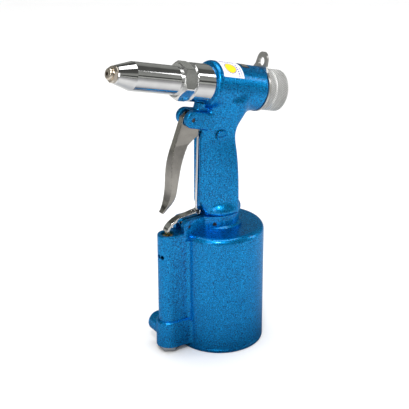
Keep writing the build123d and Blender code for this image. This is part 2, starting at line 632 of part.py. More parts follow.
def build_nodes():
    """All sub-parts by node name."""
    nodes = {
        "handle": handle(),
        "air_cylinder": air_cylinder(),
        "base_cap": base_cap(),
        "neck_set_screw": neck_screw_place(rod(SPIGOT_R, 18.9, 1.9) - hexagon(2.0, 17.2, 20, 0)),
        "oil_plug": oil_plug(),
        "oil_plug_washer": oil_plug_washer(),
        "air_piston": air_piston(),
        "ram": ram(),
        "ram_nut": ram_nut(),
        "ram_gland": ram_gland(),
        "valve_plug": valve_plug(),
        "valve_seat": valve_seat(),
        "valve_bush": valve_bush(),
        "valve_stem": valve_stem(),
        "valve_spring": valve_spring(),
        "inlet_screen": crosswise(VALVE_X, INLET_Z, 3.95, *SCREEN_Y),
        "trigger": trigger(),
        "trigger_pin": trigger_pin(),
        "trigger_rod": trigger_rod(),
        "rod_end_pin": rod_end_pin(),
        "valve_lever": valve_lever(),
        "valve_lever_pin": valve_lever_pin(),
        "head_adapter": head_adapter(),
        "lock_nut": lock_nut(),
        "nose_housing": nose_housing(),
        "nosepiece": nosepiece(),
        "jaw_case": jaw_case(),
        "jaw_pusher": jaw_pusher(),
        "jaw_pusher_spring": barrel(coil(-69.4, -61.6, 5.4, 0.5, 4)),
        "hydraulic_piston": hydraulic_piston(),
        "return_spring": barrel(coil(DRAW_PISTON[1] + 0.05, 49.9, 10.6, 1.2, 7)),
        "hanger_plate": hanger_plate(),
        "end_plug": end_plug(),
        "rear_cap": rear_cap(),
        "mandrel_tube": barrel(ring(2.0, 60.4, TUBE_R, 2.0)),
    }
    for number in range(3):
        nodes[f"jaw_{number + 1}"] = jaw(120 * number)
    nodes.update(seals())
    return nodes


os.makedirs("parts", exist_ok=True)
for node_name, node_shape in build_nodes().items():
    save(node_name, node_shape)
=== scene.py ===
# %% [markdown]
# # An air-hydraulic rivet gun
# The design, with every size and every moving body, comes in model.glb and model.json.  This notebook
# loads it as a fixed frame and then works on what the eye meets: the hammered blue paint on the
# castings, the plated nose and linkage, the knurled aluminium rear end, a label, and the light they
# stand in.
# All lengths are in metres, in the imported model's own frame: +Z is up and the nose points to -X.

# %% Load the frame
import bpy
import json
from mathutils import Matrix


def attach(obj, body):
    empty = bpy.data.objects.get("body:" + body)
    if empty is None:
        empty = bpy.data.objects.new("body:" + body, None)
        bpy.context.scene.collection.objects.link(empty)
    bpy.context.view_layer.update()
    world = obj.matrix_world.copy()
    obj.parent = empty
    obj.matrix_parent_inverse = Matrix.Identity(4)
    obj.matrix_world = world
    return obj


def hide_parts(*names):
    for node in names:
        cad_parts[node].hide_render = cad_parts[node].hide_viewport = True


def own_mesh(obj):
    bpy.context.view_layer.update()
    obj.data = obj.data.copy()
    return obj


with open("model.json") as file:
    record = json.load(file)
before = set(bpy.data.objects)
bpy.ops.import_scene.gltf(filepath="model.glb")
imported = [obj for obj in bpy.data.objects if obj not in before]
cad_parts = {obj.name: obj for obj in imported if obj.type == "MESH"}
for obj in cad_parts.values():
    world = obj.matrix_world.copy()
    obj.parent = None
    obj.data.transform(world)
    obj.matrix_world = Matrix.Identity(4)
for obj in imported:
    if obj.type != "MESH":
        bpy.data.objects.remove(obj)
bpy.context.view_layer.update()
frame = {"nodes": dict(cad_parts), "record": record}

# %% Libraries
from math import atan2, cos, pi, radians, sin
import json
import bmesh
import bpy
from mathutils import Matrix, Vector

MM = 0.001
IN_PLACE = Matrix.Identity(4)      # for a mesh that is already drawn where it belongs
print("one millimetre is", MM)

# %% [markdown]
# ## Where the barrel lies
# The barrel is a row of turned pieces on one axis, tilted nose-up.  A turned piece is easiest to
# draw about a plain axis, so each one is drawn along +X and then moved by this single matrix.
# Its finished object still sits at the origin, because the matrix goes into the mesh.

# %% The barrel's matrix
AXIS_HEIGHT = 254.2 * MM
TILT = radians(14.8)
BARREL = Matrix.Translation((0, 0, AXIS_HEIGHT)) @ Matrix.Rotation(TILT, 4, "Y")
print("barrel direction", [round(v, 3) for v in BARREL.to_3x3() @ Vector((1, 0, 0))])

# %% [markdown]
# ## Small tools for materials
# A procedural finish is a few noise patterns steering colour, roughness and bump.  Small helpers
# keep each finish short: they start a material, add a node, add a noise whose grain has a real
# size, and turn that noise into a colour, a roughness or a bump.  Everything reads Object
# coordinates, so a pattern is fixed to the piece and moves with it.

# %% Material helpers
def start_material(name, colour, metallic, roughness):
    """A new material and its Principled shader."""
    material = bpy.data.materials.new(name)
    material.use_nodes = True
    shader = material.node_tree.nodes["Principled BSDF"]
    shader.inputs["Base Color"].default_value = (*colour, 1)
    shader.inputs["Metallic"].default_value = metallic
    shader.inputs["Roughness"].default_value = roughness
    material.diffuse_color = (*colour, 1)
    return material, shader


def add_node(material, kind, settings=None, **inputs):
    """A node with its settings and inputs; an input is a plain value or another node's socket."""
    node = material.node_tree.nodes.new(kind)
    for name, value in (settings or {}).items():
        setattr(node, name, value)
    for name, value in inputs.items():
        socket = node.inputs[name.replace("_", " ")]
        if isinstance(value, bpy.types.NodeSocket):
            material.node_tree.links.new(value, socket)
        else:
            socket.default_value = value
    return node


def link(material, source, target):
    material.node_tree.links.new(source, target)


def grain(material, size, stretch=(1, 1, 1), detail=2.0, spin=0.0):
    """Noise with features about size metres across; stretch draws them out along an axis, and
    spin turns that axis about Y."""
    place = add_node(material, "ShaderNodeTexCoord")
    mapping = add_node(material, "ShaderNodeMapping", Vector=place.outputs["Object"])
    mapping.inputs["Rotation"].default_value = (0, spin, 0)
    mapping.inputs["Scale"].default_value = tuple(1 / s for s in stretch)
    return add_node(material, "ShaderNodeTexNoise", Vector=mapping.outputs[0],
                    Scale=1 / size, Detail=detail)


def ramp(material, source, stops):
    """Colour ramp; stops are (position, colour)."""
    node = add_node(material, "ShaderNodeValToRGB", Fac=source)
    elements = node.color_ramp.elements
    while len(elements) < len(stops):
        elements.new(0.5)
    for element, (position, colour) in zip(elements, stops):
        element.position = position
        element.color = (*colour, 1)
    return node.outputs["Color"]


NOISE_LOW, NOISE_HIGH = 0.3, 0.7      # nearly all of a noise lies between these values
MIX_A, MIX_B, MIX_RESULT = 6, 7, 2    # a Mix node's colour sockets, which share their names


def spread(material, source, low, high):
    """Stretch a noise to run from low to high."""
    node = add_node(material, "ShaderNodeMapRange", Value=source)
    node.inputs["From Min"].default_value = NOISE_LOW
    node.inputs["From Max"].default_value = NOISE_HIGH
    node.inputs["To Min"].default_value = low
    node.inputs["To Max"].default_value = high
    return node.outputs["Result"]


def bump(material, shader, source, height, strength=1.0):
    node = add_node(material, "ShaderNodeBump", Height=source, Distance=height, Strength=strength)
    link(material, node.outputs["Normal"], shader.inputs["Normal"])
    return node


print("material helpers ready")

# %% [markdown]
# ## Hammered blue paint
# Hammer finish is a metallic enamel that flows into shallow dimples as it dries: the crests show
# lighter, the hollows darker, at about a millimetre.  One noise of that size steers the colour,
# the roughness and the bump together, so each dark fleck is also a shallow dimple.  A second, slow
# noise lets the coat drift a little, and a clear coat on top gives the wet highlights.

# %% Blue paint
FLECK_SIZE, CLOUD_SIZE, DIMPLE_DEPTH = 0.85 * MM, 22 * MM, 0.16 * MM


def hammered_paint(name):
    material, shader = start_material(name, (0.004, 0.25, 0.66), 0.96, 0.42)
    flecks = grain(material, FLECK_SIZE)
    clouds = grain(material, CLOUD_SIZE)
    mottled = ramp(material, flecks.outputs["Fac"], (
        (0.37, (0.0003, 0.06, 0.18)), (0.43, (0.0008, 0.21, 0.55)),
        (0.56, (0.0015, 0.31, 0.77)), (0.68, (0.02, 0.50, 1.0))))
    drift = add_node(material, "ShaderNodeMix", {"data_type": "RGBA", "blend_type": "MULTIPLY"})
    link(material, mottled, drift.inputs[MIX_A])
    link(material, ramp(material, clouds.outputs["Fac"], (
        (0.3, (0.84, 0.90, 0.92)), (0.7, (1.0, 1.0, 1.0)))), drift.inputs[MIX_B])
    drift.inputs["Factor"].default_value = 1.0
    link(material, drift.outputs[MIX_RESULT], shader.inputs["Base Color"])
    link(material, spread(material, flecks.outputs["Fac"], 0.46, 0.34), shader.inputs["Roughness"])
    bump(material, shader, flecks.outputs["Fac"], DIMPLE_DEPTH, 0.5)
    shader.inputs["Specular Tint"].default_value = (0.35, 0.62, 0.80, 1)
    shader.inputs["Coat Weight"].default_value = 0.35
    shader.inputs["Coat Roughness"].default_value = 0.09
    return material


blue_paint = hammered_paint("blue hammered paint")
print("made", blue_paint.name)

# %% [markdown]
# ## Bare and plated metals
# Real polished parts are never perfect mirrors: turning leaves faint rings, and handling leaves
# cloudy patches.  One recipe covers them all: a metal with a base roughness, a cloud pattern that
# varies it and dulls the colour by the share tint, and a fine grain for the tool marks, which can
# be drawn out along an axis.

# %% Metals
HANDLING_SIZE = 9 * MM            # width of a cloudy patch


def metal(name, colour, roughness, cloudiness, mark_height, mark_size=0.35 * MM,
          mark_stretch=(1, 1, 1), spin=0.0, tint=0.92):
    material, shader = start_material(name, colour, 1.0, roughness)
    clouds = grain(material, HANDLING_SIZE, detail=3.0)
    marks = grain(material, mark_size, mark_stretch, 2.0, spin)
    dull = tuple(tint * c for c in colour)
    link(material, ramp(material, clouds.outputs["Fac"], ((0.35, dull), (0.65, colour))),
         shader.inputs["Base Color"])
    link(material, spread(material, clouds.outputs["Fac"], roughness, roughness + cloudiness),
         shader.inputs["Roughness"])
    bump(material, shader, marks.outputs["Fac"], mark_height, 0.35)
    return material


ACROSS_BARREL = (0.12, 6, 6)      # tool marks run round a turned piece
chrome = metal("polished chrome", (0.80, 0.80, 0.81), 0.05, 0.05, 0.004 * MM, 0.5 * MM,
               ACROSS_BARREL, -TILT)
nickel = metal("bright nickel", (0.76, 0.68, 0.58), 0.16, 0.10, 0.01 * MM)
pressed = metal("plated pressing", (0.43, 0.41, 0.38), 0.15, 0.10, 0.02 * MM, 1.2 * MM, (1, 1, 3),
                tint=0.80)
satin_chrome = metal("satin chrome", (0.90, 0.90, 0.89), 0.20, 0.04, 0.003 * MM)
bright_plate = metal("bright plated steel", (0.66, 0.65, 0.63), 0.07, 0.06, 0.01 * MM)
plate_steel = metal("brushed plate", (0.60, 0.59, 0.57), 0.28, 0.10, 0.02 * MM, 0.3 * MM, (8, 8, 1))
hard_steel = metal("ground steel", (0.40, 0.40, 0.41), 0.24, 0.08, 0.01 * MM)
dark_steel = metal("blackened steel", (0.10, 0.10, 0.105), 0.38, 0.10, 0.02 * MM)
brass = metal("machined brass", (0.78, 0.56, 0.24), 0.22, 0.10, 0.02 * MM)
turned_aluminium = metal("machined aluminium", (0.74, 0.74, 0.75), 0.30, 0.10, 0.02 * MM)
knurled = metal("knurled aluminium", (0.86, 0.86, 0.85), 0.34, 0.10, 0.02 * MM)
knurled.node_tree.nodes["Principled BSDF"].inputs["Metallic"].default_value = 0.6     # oxide film

rubber, rubber_shader = start_material("seal rubber", (0.022, 0.022, 0.024), 0.0, 0.62)
bump(rubber, rubber_shader, grain(rubber, 0.4 * MM).outputs["Fac"], 0.02 * MM, 0.5)
print("metals and rubber ready")

# %% [markdown]
# ## Finishes go on by material slot
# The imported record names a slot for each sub-part, so one table dresses every CAD piece, the
# hidden ones included.  The meshes themselves stay as they are.

# %% Dress the CAD pieces
FINISHES = {
    "blue_paint": blue_paint, "polished_chrome": chrome, "nickel": nickel,
    "trigger_steel": pressed, "knurled_aluminium": knurled, "plate_steel": plate_steel,
    "brass": brass, "hardened_steel": hard_steel, "dark_steel": dark_steel,
    "machined_aluminium": turned_aluminium, "seal_rubber": rubber,
}
for part in frame["record"]["subparts"]:
    piece = frame["nodes"][part["node"]]
    piece.data.materials.clear()
    piece.data.materials.append(FINISHES[part["material_slot"]])
frame["nodes"]["lock_nut"].data.materials[0] = satin_chrome     # gripped by spanners, so duller
print("dressed", len(frame["nodes"]), "CAD pieces")

# %% [markdown]
# ## Turned pieces with bmesh
# A lathe sweeps a profile round an axis, and `bmesh.ops.spin` is the same idea: a chain of edges
# is swept a full turn and its last copy is welded to the first.  The profile is a list of
# (station, radius) points on the barrel's axis.  `new_piece` then seats the mesh on the barrel,
# smooths the round parts but not the edges, and makes the object ride on its body.

# %% Lathe helpers
def spin_profile(points, steps):
    """Sweep a closed ring of (station, radius) points round the X axis."""
    bm = bmesh.new()
    verts = [bm.verts.new((station, 0, radius)) for station, radius in points]
    edges = [bm.edges.new(pair) for pair in zip(verts, verts[1:] + verts[:1])]
    bmesh.ops.spin(bm, geom=verts + edges, cent=(0, 0, 0), axis=(1, 0, 0), angle=2 * pi,
                   steps=steps, use_merge=True)
    bmesh.ops.recalc_face_normals(bm, faces=bm.faces)
    return bm


def new_piece(name, bm, material, body, matrix=BARREL, sharp=35):
    mesh = bpy.data.meshes.new(name)
    bmesh.ops.transform(bm, matrix=matrix, verts=bm.verts)
    limit = radians(sharp)
    for face in bm.faces:
        face.smooth = True
    for edge in bm.edges:
        edge.smooth = len(edge.link_faces) == 2 and edge.calc_face_angle(0) < limit
    bm.to_mesh(mesh)
    bm.free()
    mesh.materials.append(material)
    piece = bpy.data.objects.new(name, mesh)
    bpy.context.scene.collection.objects.link(piece)
    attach(piece, body)
    return piece


print("lathe ready")

# %% [markdown]
# ## Diamond knurl
# A knurling tool presses two families of slanted grooves into the aluminium, and what stays proud
# is a field of small pyramids.  Two slanted waves crossed over a fine lathe mesh give the same
# relief: a point sinks as far as the deeper of the two grooves says.  The relief fades out before
# the ends of the band, where the real one is chamfered.  The deep faces of the grooves get a darker,
# duller aluminium: the darker colour is painted shade in the grooves.

# %% Knurl
KNURL_DEPTH = 0.45 * MM
KNURL_FADE = 0.7 * MM       # the relief comes in over this length at each end of a band
KNURL_COUNT = 66            # grooves of one family round the ring
KNURL_STEPS = 528           # eight mesh columns to each groove
ROW = 0.23 * MM             # height of a mesh row
GROOVE_WIDTH = 0.62         # share of the pitch that a groove takes
SHADE_FROM = 0.72            # how deep into a groove the painted shade begins
# a darker, duller aluminium for the groove faces: painted shade in the grooves
groove_shade = metal("aluminium with painted groove shade", (0.42, 0.42, 0.41), 0.42, 0.10, 0.02 * MM)


def band_rows(start, end, radius):
    """Outline points close enough together to carry the knurl."""
    rows = max(2, round((end - start) / ROW))
    return [(start + (end - start) * i / rows, radius) for i in range(rows + 1)]


def groove(phase):
    """0 on a crest, 1 in a groove, sharp-edged like the tool's teeth."""
    return max(0.0, 1.0 - abs((phase % 1.0) - 0.5) * 2 / GROOVE_WIDTH)


def press_knurl(bm, start, end, radius):
    pitch = 2 * pi * radius / KNURL_COUNT
    for vert in bm.verts:
        station, reach = vert.co.x, Vector(vert.co.yz).length
        if start - 1e-6 <= station <= end + 1e-6 and abs(reach - radius) < 1e-5:
            turn = atan2(vert.co.y, vert.co.z) / (2 * pi) * KNURL_COUNT
            slant = (station - start) / pitch
            depth = max(groove(turn + slant), groove(turn - slant))
            # faces deep in a groove take the darker aluminium: painted shade
            if depth > SHADE_FROM:
                for face in vert.link_faces:
                    face.material_index = 1
            fade = min(1.0, (station - start) / KNURL_FADE, (end - station) / KNURL_FADE)
            scale = 1 - KNURL_DEPTH * depth * max(0.0, fade) / reach
            vert.co.y *= scale
            vert.co.z *= scale


print("knurl of", KNURL_COUNT, "grooves each way")

# %% End plug with its knurled flange
FLANGE_FRONT, FLANGE_REAR, CAP_REAR = 42.7 * MM, 50.5 * MM, 65.5 * MM
CAP_RADIUS = 19.3 * MM
FLANGE_RADIUS = CAP_RADIUS - 0.3 * MM
EDGE = 0.6 * MM             # chamfer on both knurled rims


def knurled_end_plug():
    spigot_front, spigot = 34.5 * MM, 14.45 * MM
    stub_rear, stub, bore = 59 * MM, 14 * MM, 2.65 * MM
    room_rear, room = 50 * MM, 12.3 * MM
    band = (FLANGE_FRONT + EDGE, FLANGE_REAR - EDGE)
    outline = [(spigot_front, room), (spigot_front, spigot), (FLANGE_FRONT, spigot),
               (FLANGE_FRONT, FLANGE_RADIUS - EDGE)]
    outline += band_rows(*band, FLANGE_RADIUS)
    outline += [(FLANGE_REAR, FLANGE_RADIUS - EDGE), (FLANGE_REAR, stub), (stub_rear, stub),
                (stub_rear, bore), (room_rear, bore), (room_rear, room)]
    bm = spin_profile(outline, KNURL_STEPS)
    press_knurl(bm, *band, FLANGE_RADIUS)
    piece = new_piece("end_plug_knurled", bm, knurled, "frame", sharp=50)
    piece.data.materials.append(groove_shade)
    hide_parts("end_plug")
    return piece


print("end plug faces", len(knurled_end_plug().data.polygons))

# %% Rear cap
def knurled_rear_cap():
    seam, room_rear, room, corner = 51 * MM, 60.5 * MM, 14.05 * MM, 2.0 * MM
    dish_floor, dish, dish_wall = CAP_REAR - 0.5 * MM, 12.0 * MM, 12.5 * MM
    exit_mouth, exit_hole, exit_floor = 4.6 * MM, 3.4 * MM, CAP_REAR - 1.3 * MM
    band = (seam + 0.7 * MM, CAP_REAR - corner - 0.2 * MM)
    outline = [(seam, room), (seam, CAP_RADIUS - EDGE)]
    outline += band_rows(*band, CAP_RADIUS)
    outline += [(CAP_REAR - corner + corner * sin(a), CAP_RADIUS - corner + corner * cos(a))
                for a in (i * pi / 12 for i in range(7))]
    outline += [(CAP_REAR, dish_wall), (dish_floor, dish), (dish_floor, exit_mouth),
                (exit_floor, exit_hole), (room_rear, exit_hole), (room_rear, room)]
    bm = spin_profile(outline, KNURL_STEPS)
    press_knurl(bm, *band, CAP_RADIUS)
    piece = new_piece("rear_cap_knurled", bm, knurled, "frame", sharp=50)
    piece.data.materials.append(groove_shade)
    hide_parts("rear_cap")
    return piece


print("rear cap faces", len(knurled_rear_cap().data.polygons))

# %% [markdown]
# ## Base cap
# The foot screws into the cylinder, and a small bevel on its upper rim leaves the thin dark line
# that shows where one casting ends and the other begins.  Its profile is turned about a vertical
# axis, so stations become heights.  The profile stops a little short of the axis, so the foot
# keeps a pin hole in its centre, underneath, instead of a pole of thin triangles.

# %% Base cap
CAP_SEAM, BODY_RADIUS = 3.9 * MM, 42.0 * MM
UPRIGHT = Matrix.Rotation(-pi / 2, 4, "Y")


def seamed_base_cap():
    centre, inner, bevel = 0.8 * MM, 37.4 * MM, 0.6 * MM
    foot_bevel, foot_knuckle = 1.2 * MM, 0.35 * MM
    rim, cap_top, floor = CAP_SEAM - 0.04 * MM, 16 * MM, 5.5 * MM
    crown_top, crown_outer, crown_inner, well = 29.8 * MM, 31 * MM, 27 * MM, 20 * MM
    outline = [(0, centre), (0, BODY_RADIUS - foot_bevel), (foot_knuckle, BODY_RADIUS - foot_knuckle),
               (foot_bevel, BODY_RADIUS), (CAP_SEAM - bevel, BODY_RADIUS), (rim, BODY_RADIUS - bevel),
               (rim, inner), (cap_top, inner), (cap_top, crown_outer), (crown_top, crown_outer),
               (crown_top, crown_inner), (cap_top, crown_inner), (cap_top, well), (floor, well),
               (floor, centre)]
    bm = spin_profile(outline, 160)
    piece = new_piece("base_cap_turned", bm, blue_paint, "frame", UPRIGHT, 40)
    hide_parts("base_cap")
    return piece


print("base cap faces", len(seamed_base_cap().data.polygons))

# %% [markdown]
# ## The inlet's thread
# A fitting screws into the air inlet, so the hole shows thread crests.  At this size a row of
# plain rings reads the same as the true helix, so a zigzag profile is swept round the hole's axis.

# %% Inlet thread
VALVE_X, INLET_Z = -57.0 * MM, 20.5 * MM
THREAD_FOOT, THREAD_MOUTH = 9.0 * MM, 21.6 * MM
THREAD_ROOT, THREAD_CREST, PITCH = 5.68 * MM, 5.0 * MM, 1.34 * MM
AROUND_INLET = Matrix.Translation((VALVE_X, 0, INLET_Z)) @ Matrix.Rotation(pi / 2, 4, "Z")


def inlet_thread():
    turns = int((THREAD_MOUTH - THREAD_FOOT) / PITCH)
    outline = [(THREAD_FOOT, THREAD_ROOT)]
    for turn in range(turns):
        start = THREAD_FOOT + turn * PITCH
        outline += [(start + 0.45 * PITCH, THREAD_CREST), (start + 0.55 * PITCH, THREAD_CREST),
                    (start + PITCH, THREAD_ROOT - 0.03 * MM)]
    outline += [(THREAD_MOUTH, THREAD_ROOT)]
    bm = spin_profile(outline, 72)
    return new_piece("inlet_thread", bm, turned_aluminium, "frame", AROUND_INLET)


print("inlet thread faces", len(inlet_thread().data.polygons))

# %% [markdown]
# ## Softening castings and pressings
# A casting has no sharp inside corner: metal and then paint fill every root, so the grip flows
# into the head.  A pressing has no knife edge either.  The CAD pieces have the right size but
# crisp seams, so a copy is welded, remeshed into even cells, and worked on point by point.
# `fill_corners` moves a point only outwards, towards the mean of its neighbours, which fills
# hollows and leaves everything else at its size.  `ease` moves it both ways: a few rounds just
# round the edges, and many rounds melt the line where the neck's flanks end on the head.

# %% Softening tools
FILL_STEP = 0.8        # share of the way to the neighbours' mean in one round


def even_copy(node, cell):
    """A welded copy of a CAD piece, rebuilt from cells of one size."""
    welded = bmesh.new()
    welded.from_mesh(frame["nodes"][node].data)
    bmesh.ops.remove_doubles(welded, verts=welded.verts, dist=1e-6)
    mesh = bpy.data.meshes.new(node + " welded")
    welded.to_mesh(mesh)
    welded.free()
    holder = bpy.data.objects.new(node + " welded", mesh)
    bpy.context.scene.collection.objects.link(holder)
    remesh = holder.modifiers.new("cells", "REMESH")
    remesh.mode, remesh.voxel_size = "VOXEL", cell
    bm = bmesh.new()
    bm.from_object(holder, bpy.context.evaluated_depsgraph_get())
    bpy.data.objects.remove(holder)
    bpy.data.meshes.remove(mesh)
    bm.normal_update()
    return bm


def mean_of_neighbours(vert):
    ring = [edge.other_vert(vert).co for edge in vert.link_edges]
    return sum(ring, Vector()) / len(ring)


def fill_corners(verts, rounds):
    """Raise points that lie in a hollow, and leave the others."""
    for _ in range(rounds):
        steps = [max(0.0, (mean_of_neighbours(v) - v.co).dot(v.normal)) for v in verts]
        for vert, step in zip(verts, steps):
            vert.co += FILL_STEP * step * vert.normal


def ease(verts, rounds):
    """Move points half way to the mean of their neighbours, round after round."""
    for _ in range(rounds):
        means = [mean_of_neighbours(v) for v in verts]
        for vert, mean in zip(verts, means):
            vert.co = vert.co.lerp(mean, 0.5)


print("softening tools ready")

# %% The handle, with the grip flowing into the head
CELL = 0.95 * MM
TRIGGER_PIN = Vector((-33.7, 0, 229.6)) * MM
OIL_PLUG = Vector((-6.5, 0, 210.5)) * MM
BORE_CLEAR, OIL_CLEAR = 16.5 * MM, 9 * MM        # reach of the bored faces, with some room to spare
PIN_CLEAR, PLUG_CLEAR = 3.4 * MM, 7 * MM
SLOT_HALF, SLOT_REAR = 5.6 * MM, -16 * MM        # the trigger's slot in the front of the neck
JOINT_TOP = 134 * MM                             # below this lies the joint with the collar
NECK_MIDDLE, NECK_REACH = 234 * MM, 22 * MM
CORNER_ROUNDS, REAR_ROUNDS, SURFACE_ROUNDS = 60, 110, 8
FLANK_EASING, FINAL_EASING = 26, 3


def on_the_outside(point):
    """True where the handle's surface is painted casting, not a bore, slot or seat."""
    seated = BARREL.inverted() @ point
    head_bore = Vector(seated.yz).length < BORE_CLEAR
    oil_bore = Vector(point.xy).length < OIL_CLEAR
    pin_hole = Vector((point - TRIGGER_PIN).xz).length < PIN_CLEAR
    plug_seat = Vector((point - OIL_PLUG).xz).length < PLUG_CLEAR
    front_slot = abs(point.y) < SLOT_HALF and point.x < SLOT_REAR
    kept = head_bore or oil_bore or pin_hole or plug_seat or front_slot
    return point.z > JOINT_TOP and not kept


def under_the_head(point):
    """True in the corner band where the neck's flanks and back run into the head."""
    seated = BARREL.inverted() @ point
    below = seated.x > -11 * MM and -30 * MM < seated.z < 2 * MM
    return below and abs(point.z - NECK_MIDDLE) < NECK_REACH


def beside_the_head(point):
    """True along the line where the neck's flanks end against the head."""
    seated = BARREL.inverted() @ point
    on_a_flank = -10 * MM < seated.x < 36 * MM and abs(point.y) > 12 * MM
    return on_a_flank and 232 * MM < point.z < 251 * MM


def softened_handle():
    bm = even_copy("handle", CELL)
    outside = [v for v in bm.verts if on_the_outside(v.co)]
    corner = [v for v in outside if under_the_head(v.co)]
    rear_corner = [v for v in corner if v.co.x > 6 * MM]
    fill_corners(corner, CORNER_ROUNDS)
    fill_corners(rear_corner, REAR_ROUNDS)
    fill_corners(outside, SURFACE_ROUNDS)
    ease([v for v in outside if beside_the_head(v.co)], FLANK_EASING)
    ease(outside, FINAL_EASING)
    piece = new_piece("handle_casting", bm, blue_paint, "frame", IN_PLACE, 50)
    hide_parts("handle")
    print("handle points", len(outside), "in the corner", len(corner))
    return piece


softened_handle()

# %% Trigger and valve lever
def softened_pressing(node, body, cell, finish):
    """A pressing with its edges eased by about one cell."""
    bm = even_copy(node, cell)
    ease(list(bm.verts), 2)
    piece = new_piece(node + "_pressing", bm, finish, body, IN_PLACE, 60)
    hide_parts(node)
    print(node, "faces", len(piece.data.polygons))
    return piece


softened_pressing("trigger", "trigger", 0.38 * MM, pressed)
softened_pressing("valve_lever", "lever", 0.30 * MM, bright_plate)

# %% [markdown]
# ## Springs
# Two springs are squeezed when the tool works: the return spring by the hydraulic piston, the
# valve spring by the stem.  Each is copied as a welded mesh of its own in plate steel, which rides
# on the frame and keeps its length.

# %% Springs
def shortening_spring(node):
    bm = bmesh.new()
    bm.from_mesh(frame["nodes"][node].data)
    bmesh.ops.remove_doubles(bm, verts=bm.verts, dist=1e-6)
    piece = new_piece(node + "_coil", bm, plate_steel, "frame", IN_PLACE, 60)
    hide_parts(node)
    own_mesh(piece)
    return piece


shortening_spring("return_spring")
shortening_spring("valve_spring")

# %% [markdown]
# ## Label and plate
# A printed label is vinyl about a tenth of a millimetre thick, laid over the head's top and near
# side.  A grid is extruded to give it a thickness and bent to the head's radius, and its cells are
# coloured by where they fall: white ground, a plain yellow roundel and rows of violet dashes where
# a maker's print would be.  It says nothing on purpose.

# %% Label
HEAD_RADIUS_FRONT, HEAD_RADIUS_REAR = 21.3 * MM, 20.4 * MM
HEAD_FRONT, HEAD_REAR = -15.5 * MM, 40.5 * MM
GLUE_GAP = 0.01 * MM


def head_radius(station):
    share = (station - HEAD_FRONT) / (HEAD_REAR - HEAD_FRONT)
    return HEAD_RADIUS_FRONT + share * (HEAD_RADIUS_REAR - HEAD_RADIUS_FRONT)


def bent_label(stations, angles, cells, thickness, paint):
    """A thin patch on the head; paint(u, v) returns the index of a cell's material."""
    columns, rows = cells
    bm = bmesh.new()
    bmesh.ops.create_grid(bm, x_segments=columns, y_segments=rows, size=0.5)
    for face in bm.faces:
        middle = face.calc_center_median()
        face.material_index = paint(middle.x + 0.5, middle.y + 0.5)
    solid = bmesh.ops.extrude_face_region(bm, geom=list(bm.faces))
    raised = {v for v in solid["geom"] if isinstance(v, bmesh.types.BMVert)}
    for vert in bm.verts:
        station = stations[0] + (vert.co.x + 0.5) * (stations[1] - stations[0])
        angle = radians(angles[0] + (vert.co.y + 0.5) * (angles[1] - angles[0]))
        radius = head_radius(station) + (thickness if vert in raised else GLUE_GAP)
        vert.co = Vector((station, -radius * sin(angle), radius * cos(angle)))
    bmesh.ops.recalc_face_normals(bm, faces=bm.faces)
    return bm


white_vinyl, _ = start_material("white vinyl", (0.72, 0.72, 0.76), 0.0, 0.32)
yellow_ink, _ = start_material("yellow ink", (0.80, 0.60, 0.01), 0.0, 0.34)
violet_ink, _ = start_material("violet ink", (0.10, 0.07, 0.36), 0.0, 0.34)
black_ink, _ = start_material("black ink", (0.02, 0.02, 0.02), 0.0, 0.36)
silver_foil, _ = start_material("silver foil", (0.55, 0.54, 0.50), 1.0, 0.34)
for vinyl in (white_vinyl, yellow_ink, violet_ink, black_ink, silver_foil):
    vinyl_shader = vinyl.node_tree.nodes["Principled BSDF"]
    wear = grain(vinyl, 3 * MM)
    link(vinyl, spread(vinyl, wear.outputs["Fac"], 0.28, 0.40), vinyl_shader.inputs["Roughness"])
    bump(vinyl, vinyl_shader, grain(vinyl, 0.6 * MM).outputs["Fac"], 0.01 * MM, 0.4)


WHITE, YELLOW, VIOLET = 0, 1, 2       # the label's material indices


def dashes(place, per_side, share):
    """True on the inked share of each dash in a row."""
    return (place * per_side) % 1 < share


def label_print(u, v):
    """u runs rearwards, v down the side: an outlined yellow roundel and rows of violet dashes."""
    across, down = (u - 0.44) / 0.25, (v - 0.66) / 0.19
    roundel = (across ** 2 + down ** 2) ** 0.5
    if roundel < 1.12:
        return YELLOW if roundel < 1 else VIOLET
    top_row = 0.28 < v < 0.36 and 0.10 < u < 0.84 and dashes(u, 8.0, 0.66)
    side_row = 0.75 < u < 0.81 and 0.46 < v < 0.95 and dashes(v, 12.0, 0.62)
    small_row = 0.88 < u < 0.92 and 0.62 < v < 0.95 and dashes(v, 22.0, 0.60)
    return VIOLET if top_row or side_row or small_row else WHITE


def maker_label():
    bm = bent_label((-10.0 * MM, 12.5 * MM), (-24, 57), (90, 120), 0.12 * MM, label_print)
    piece = new_piece("label", bm, white_vinyl, "frame", sharp=30)
    piece.data.materials.append(yellow_ink)
    piece.data.materials.append(violet_ink)
    return piece


def plate_print(u, v):
    """Foil inside a black edge."""
    return 1 if 0.12 < u < 0.88 and 0.08 < v < 0.92 else 0


def rating_plate():
    bm = bent_label((15.5 * MM, 23.5 * MM), (-30, 20), (24, 36), 0.14 * MM, plate_print)
    piece = new_piece("rating_plate", bm, black_ink, "frame", sharp=30)
    piece.data.materials.append(silver_foil)
    return piece


print("label", len(maker_label().data.polygons), "plate", len(rating_plate().data.polygons))

# %% [markdown]
# ## The camera
# A product shot: a fairly long lens, a little above the tool, with the nose to the left.  The
# camera looks at a point half way up the tool and is placed by angle and distance from there.

